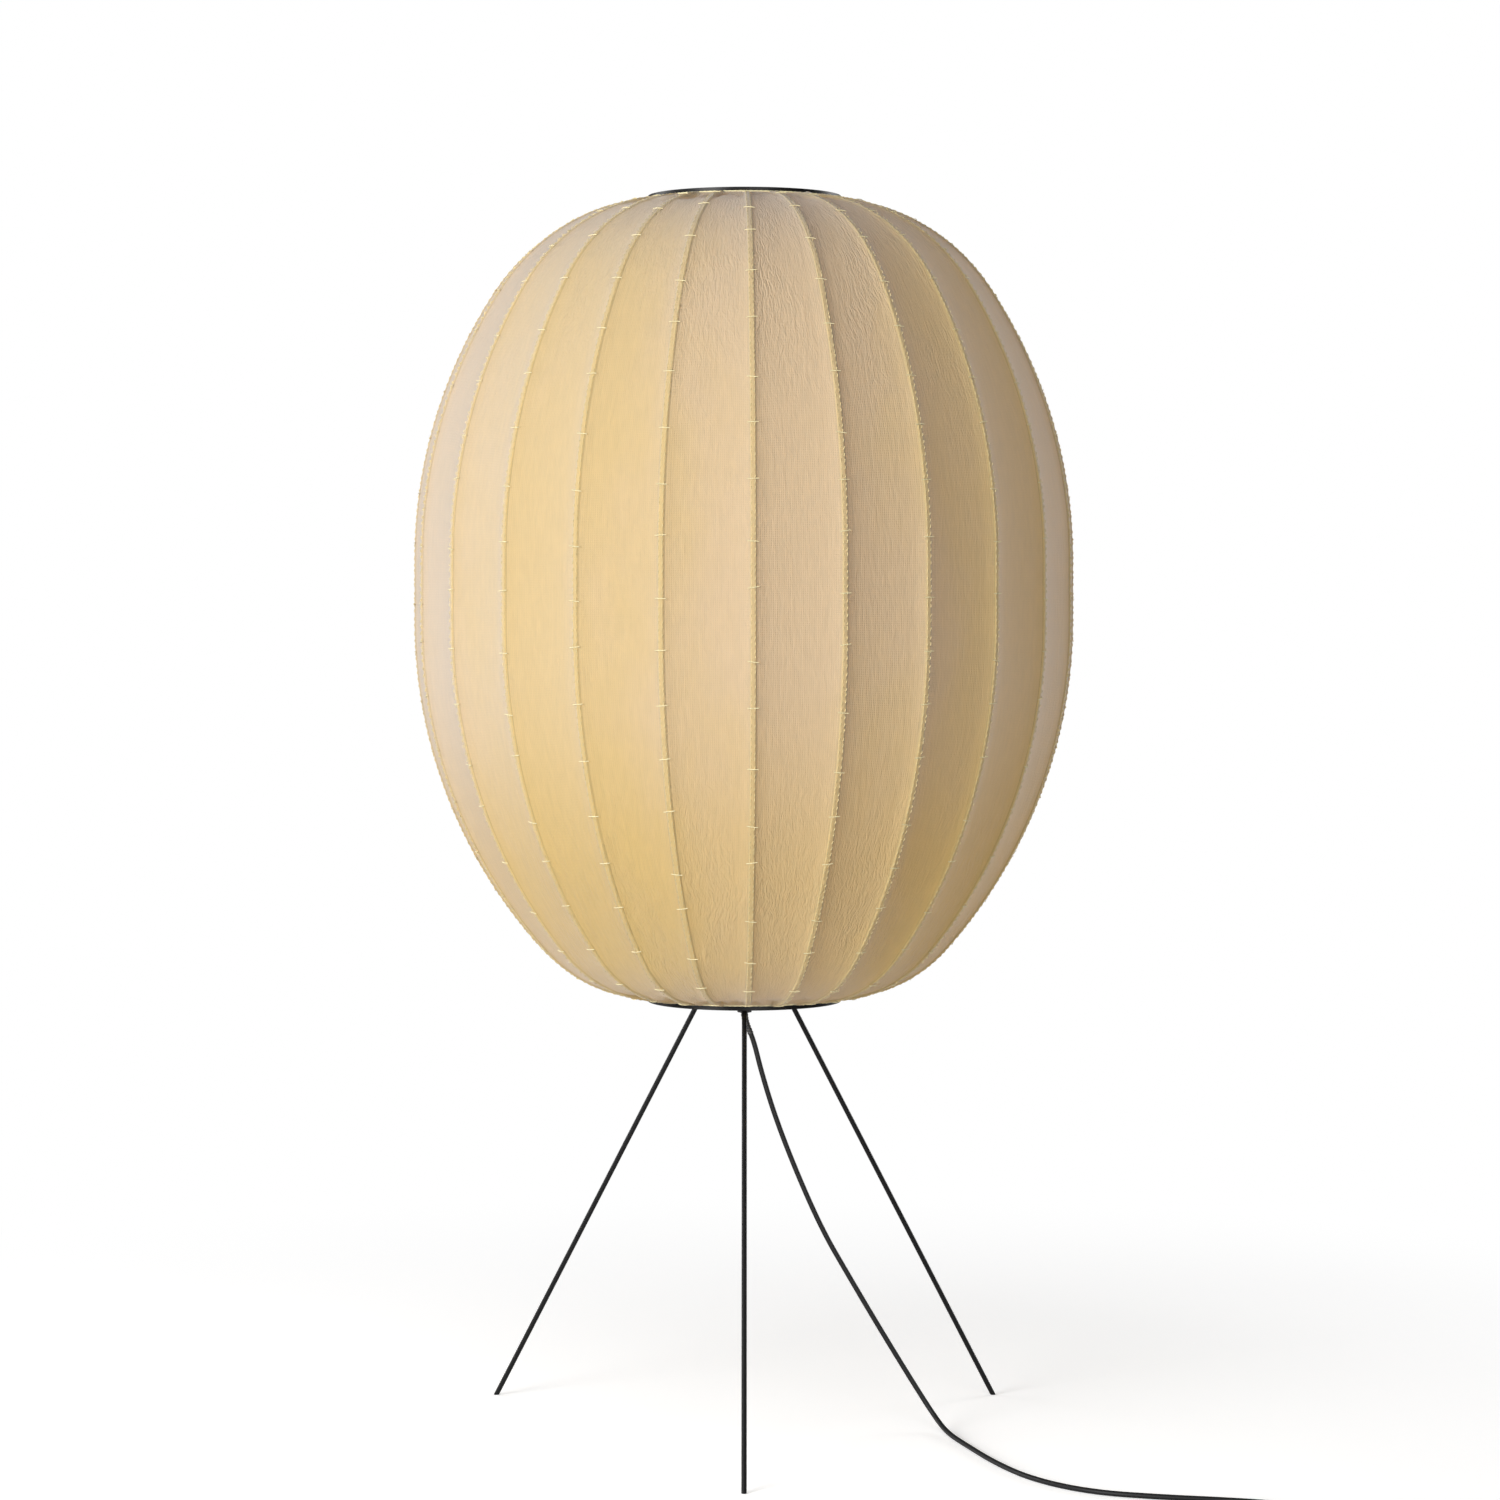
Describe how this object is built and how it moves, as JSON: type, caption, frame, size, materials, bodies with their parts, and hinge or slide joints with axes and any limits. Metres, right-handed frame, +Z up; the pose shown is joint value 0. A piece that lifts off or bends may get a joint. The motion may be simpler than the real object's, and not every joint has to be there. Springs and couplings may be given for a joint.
{
  "type": "knitted floor lamp",
  "caption": "Floor lamp with a tall melon-shaped knitted shade over bowed ribs, on three slanted black rod legs, with a corded foot switch and plug.",
  "frame": {"origin": "on the floor, at the middle of the lamp's box, under the axis of its shade", "axes": "+Z up along the lamp's axis, -Y towards the viewer of the picture, where one leg points; +X to the viewer's right, where the cord leads"},
  "size_m": [0.8441, 0.8464, 1.2035],
  "materials": {
    "knit": "fine straw-yellow knit, matt",
    "rib_metal": "pale paint, satin",
    "black_metal": "black powder paint, satin",
    "zinc_steel": "zinc plated",
    "grip_plastic": "black, matt",
    "holder_plastic": "black, smooth",
    "insulator": "white, matt",
    "contact_brass": "plain",
    "bulb_cap_metal": "nickel plated",
    "bulb_glass": "opal white",
    "cord_skin": "black, satin",
    "switch_plastic": "black, fine grain",
    "button_plastic": "black, fine grain",
    "plug_plastic": "black, matt",
    "pin_metal": "nickel plated"
  },
  "bodies": {
    "lamp": {"knit_cover": "knit", "rib_01": "rib_metal", "rib_02": "rib_metal", "rib_03": "rib_metal", "rib_04": "rib_metal", "rib_05": "rib_metal", "rib_06": "rib_metal", "rib_07": "rib_metal", "rib_08": "rib_metal", "rib_09": "rib_metal", "rib_10": "rib_metal", "rib_11": "rib_metal", "rib_12": "rib_metal", "rib_13": "rib_metal", "rib_14": "rib_metal", "rib_15": "rib_metal", "rib_16": "rib_metal", "rib_17": "rib_metal", "rib_18": "rib_metal", "rib_19": "rib_metal", "rib_20": "rib_metal", "rib_21": "rib_metal", "rib_22": "rib_metal", "rib_23": "rib_metal", "rib_24": "rib_metal", "top_ring": "black_metal", "lower_frame": "black_metal", "leg_1": "black_metal", "leg_2": "black_metal", "leg_3": "black_metal", "nipple": "zinc_steel", "nipple_nut": "zinc_steel", "cord_grip": "grip_plastic", "holder_shell": "holder_plastic", "contact_block": "insulator", "contact_strip": "contact_brass", "bulb_cap": "bulb_cap_metal", "bulb_body": "bulb_glass", "cord_lead": "cord_skin", "cord_coil": "cord_skin", "switch_base": "switch_plastic", "switch_cover": "switch_plastic", "switch_module": "insulator", "switch_screws": "zinc_steel", "plug_body": "plug_plastic", "plug_pins": "pin_metal"},
    "button": {"switch_button": "button_plastic"}
  },
  "joints": [
    {"name": "button_press", "type": "slide", "parent": "lamp", "child": "button", "axis": [0, 0, -1], "range_m": [0, 0.0025], "stiffness_N_per_m": 1500, "springref_m": -0.001}
  ]
}
